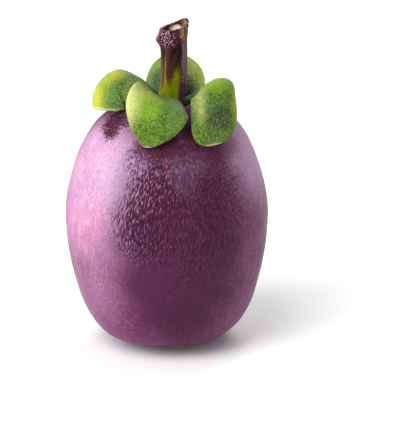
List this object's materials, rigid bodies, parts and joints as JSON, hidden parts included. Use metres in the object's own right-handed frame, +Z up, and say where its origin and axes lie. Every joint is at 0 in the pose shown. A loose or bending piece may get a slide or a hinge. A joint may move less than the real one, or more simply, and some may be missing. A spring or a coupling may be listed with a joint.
{
  "type": "mangosteen",
  "caption": "Ripe mangosteen, upright on its flower end, with curled fleshy green sepals and a cut woody stem on top.",
  "frame": {"origin": "centre of the flat spot under the flower end that the fruit rests on", "axes": "+Z up along the fruit's axis, towards the stem; -Y is the side with the front sepal"},
  "size_m": [0.0597, 0.0595, 0.0953],
  "materials": {
    "rind": "satin fruit rind, purple with a pale bloom and fine pits",
    "rosette": "dry woody brown",
    "bark": "rough purple-brown bark, olive green at the foot",
    "sepal": "fleshy, velvety green with pale margins"
  },
  "bodies": {
    "root": {"fruit_body": "rind", "stigma_rosette": "rosette", "stem": "bark", "sepal_left": "sepal", "sepal_front": "sepal", "sepal_right": "sepal", "sepal_back": "sepal"}
  },
  "joints": []
}
